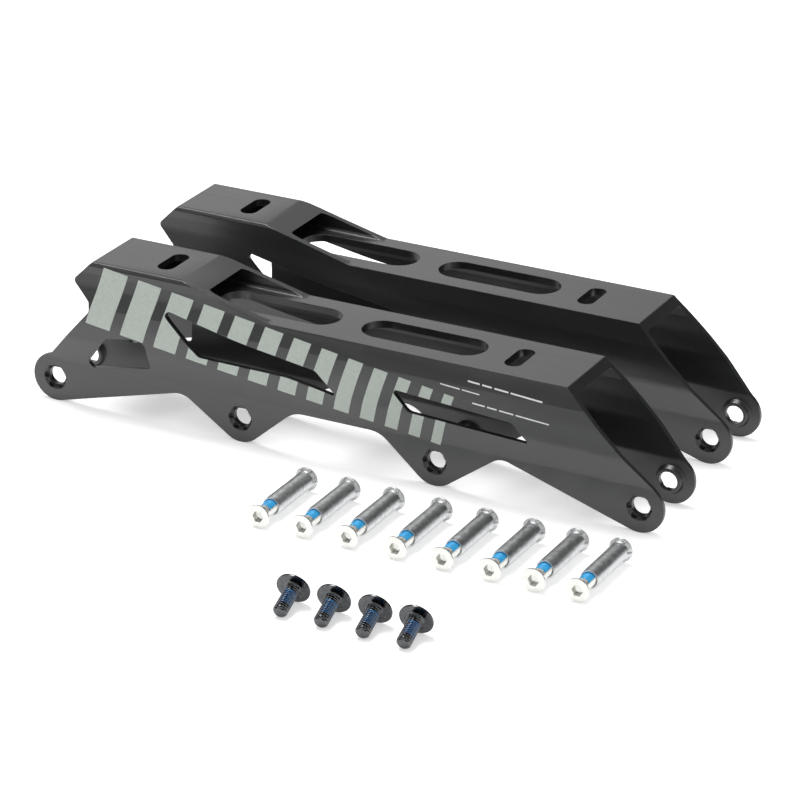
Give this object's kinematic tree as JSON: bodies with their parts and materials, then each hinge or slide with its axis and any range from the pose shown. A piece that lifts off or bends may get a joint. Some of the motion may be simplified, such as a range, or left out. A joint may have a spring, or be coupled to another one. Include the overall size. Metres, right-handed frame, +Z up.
{
  "type": "inline skate frame",
  "caption": "Pair of black extruded inline skate frames for four wheels, stepped decks with ramp and windows, with loose two-part axles and mounting bolts",
  "frame": {"origin": "on the floor under the middle of the whole set's outline, seen from above", "axes": "+X runs from the heel to the toe of both frames, +Y from the right frame to the left frame, +Z up"},
  "size_m": [0.303, 0.2477, 0.069],
  "materials": {
    "frame_metal": "fine matte black anodised",
    "barrel_metal": "bright zinc plated",
    "axle_bolt_metal": "bright nickel plated",
    "axle_lock": "blue thread-lock patch",
    "mount_bolt_metal": "black oxide, oiled",
    "mount_lock": "dark blue thread-lock patch"
  },
  "bodies": {
    "frames_and_bolts": {"frame_right": "frame_metal", "frame_left": "frame_metal", "mounting_bolt_1": "mount_bolt_metal", "mounting_bolt_2": "mount_bolt_metal", "mounting_bolt_3": "mount_bolt_metal", "mounting_bolt_4": "mount_bolt_metal", "mounting_thread_lock_1": "mount_lock", "mounting_thread_lock_2": "mount_lock", "mounting_thread_lock_3": "mount_lock", "mounting_thread_lock_4": "mount_lock"},
    "axle_bolt_1": {"axle_bolt_1": "axle_bolt_metal", "axle_thread_lock_1": "axle_lock"},
    "axle_barrel_1": {"axle_barrel_1": "barrel_metal"},
    "axle_bolt_2": {"axle_bolt_2": "axle_bolt_metal", "axle_thread_lock_2": "axle_lock"},
    "axle_barrel_2": {"axle_barrel_2": "barrel_metal"},
    "axle_bolt_3": {"axle_bolt_3": "axle_bolt_metal", "axle_thread_lock_3": "axle_lock"},
    "axle_barrel_3": {"axle_barrel_3": "barrel_metal"},
    "axle_bolt_4": {"axle_bolt_4": "axle_bolt_metal", "axle_thread_lock_4": "axle_lock"},
    "axle_barrel_4": {"axle_barrel_4": "barrel_metal"},
    "axle_bolt_5": {"axle_bolt_5": "axle_bolt_metal", "axle_thread_lock_5": "axle_lock"},
    "axle_barrel_5": {"axle_barrel_5": "barrel_metal"},
    "axle_bolt_6": {"axle_bolt_6": "axle_bolt_metal", "axle_thread_lock_6": "axle_lock"},
    "axle_barrel_6": {"axle_barrel_6": "barrel_metal"},
    "axle_bolt_7": {"axle_bolt_7": "axle_bolt_metal", "axle_thread_lock_7": "axle_lock"},
    "axle_barrel_7": {"axle_barrel_7": "barrel_metal"},
    "axle_bolt_8": {"axle_bolt_8": "axle_bolt_metal", "axle_thread_lock_8": "axle_lock"},
    "axle_barrel_8": {"axle_barrel_8": "barrel_metal"}
  },
  "joints": [
    {"name": "axle_bolt_turn_1", "type": "hinge", "parent": "frames_and_bolts", "child": "axle_bolt_1", "pos_m": [0.0029, -0.05464, 0.00525], "axis": [0, 1, 0], "range_deg": [-3603, 2739]},
    {"name": "axle_barrel_slide_1", "type": "slide", "parent": "frames_and_bolts", "child": "axle_barrel_1", "axis": [0, -1, 0], "range_m": [-0.01, 0.0076]},
    {"name": "axle_bolt_turn_2", "type": "hinge", "parent": "frames_and_bolts", "child": "axle_bolt_2", "pos_m": [0.023, -0.05443, 0.00525], "axis": [0, 1, 0], "range_deg": [-3603, 2739]},
    {"name": "axle_barrel_slide_2", "type": "slide", "parent": "frames_and_bolts", "child": "axle_barrel_2", "axis": [0, -1, 0], "range_m": [-0.01, 0.0076]},
    {"name": "axle_bolt_turn_3", "type": "hinge", "parent": "frames_and_bolts", "child": "axle_bolt_3", "pos_m": [0.0435, -0.05421, 0.00525], "axis": [0, 1, 0], "range_deg": [-3603, 2739]},
    {"name": "axle_barrel_slide_3", "type": "slide", "parent": "frames_and_bolts", "child": "axle_barrel_3", "axis": [0, -1, 0], "range_m": [-0.01, 0.0076]},
    {"name": "axle_bolt_turn_4", "type": "hinge", "parent": "frames_and_bolts", "child": "axle_bolt_4", "pos_m": [0.0653, -0.05398, 0.00525], "axis": [0, 1, 0], "range_deg": [-3603, 2739]},
    {"name": "axle_barrel_slide_4", "type": "slide", "parent": "frames_and_bolts", "child": "axle_barrel_4", "axis": [0, -1, 0], "range_m": [-0.01, 0.0076]},
    {"name": "axle_bolt_turn_5", "type": "hinge", "parent": "frames_and_bolts", "child": "axle_bolt_5", "pos_m": [0.0861, -0.05376, 0.00525], "axis": [0, 1, 0], "range_deg": [-3603, 2739]},
    {"name": "axle_barrel_slide_5", "type": "slide", "parent": "frames_and_bolts", "child": "axle_barrel_5", "axis": [0, -1, 0], "range_m": [-0.01, 0.0076]},
    {"name": "axle_bolt_turn_6", "type": "hinge", "parent": "frames_and_bolts", "child": "axle_bolt_6", "pos_m": [0.107, -0.05354, 0.00525], "axis": [0, 1, 0], "range_deg": [-3603, 2739]},
    {"name": "axle_barrel_slide_6", "type": "slide", "parent": "frames_and_bolts", "child": "axle_barrel_6", "axis": [0, -1, 0], "range_m": [-0.01, 0.0076]},
    {"name": "axle_bolt_turn_7", "type": "hinge", "parent": "frames_and_bolts", "child": "axle_bolt_7", "pos_m": [0.1263, -0.05334, 0.00525], "axis": [0, 1, 0], "range_deg": [-3603, 2739]},
    {"name": "axle_barrel_slide_7", "type": "slide", "parent": "frames_and_bolts", "child": "axle_barrel_7", "axis": [0, -1, 0], "range_m": [-0.01, 0.0076]},
    {"name": "axle_bolt_turn_8", "type": "hinge", "parent": "frames_and_bolts", "child": "axle_bolt_8", "pos_m": [0.1452, -0.05314, 0.00525], "axis": [0, 1, 0], "range_deg": [-3603, 2739]},
    {"name": "axle_barrel_slide_8", "type": "slide", "parent": "frames_and_bolts", "child": "axle_barrel_8", "axis": [0, -1, 0], "range_m": [-0.01, 0.0076]}
  ],
  "couplings": [
    {"joint": "axle_bolt_turn_1", "follows": "axle_barrel_slide_1", "rad_per_m": 6283.2},
    {"joint": "axle_bolt_turn_2", "follows": "axle_barrel_slide_2", "rad_per_m": 6283.2},
    {"joint": "axle_bolt_turn_3", "follows": "axle_barrel_slide_3", "rad_per_m": 6283.2},
    {"joint": "axle_bolt_turn_4", "follows": "axle_barrel_slide_4", "rad_per_m": 6283.2},
    {"joint": "axle_bolt_turn_5", "follows": "axle_barrel_slide_5", "rad_per_m": 6283.2},
    {"joint": "axle_bolt_turn_6", "follows": "axle_barrel_slide_6", "rad_per_m": 6283.2},
    {"joint": "axle_bolt_turn_7", "follows": "axle_barrel_slide_7", "rad_per_m": 6283.2},
    {"joint": "axle_bolt_turn_8", "follows": "axle_barrel_slide_8", "rad_per_m": 6283.2}
  ]
}
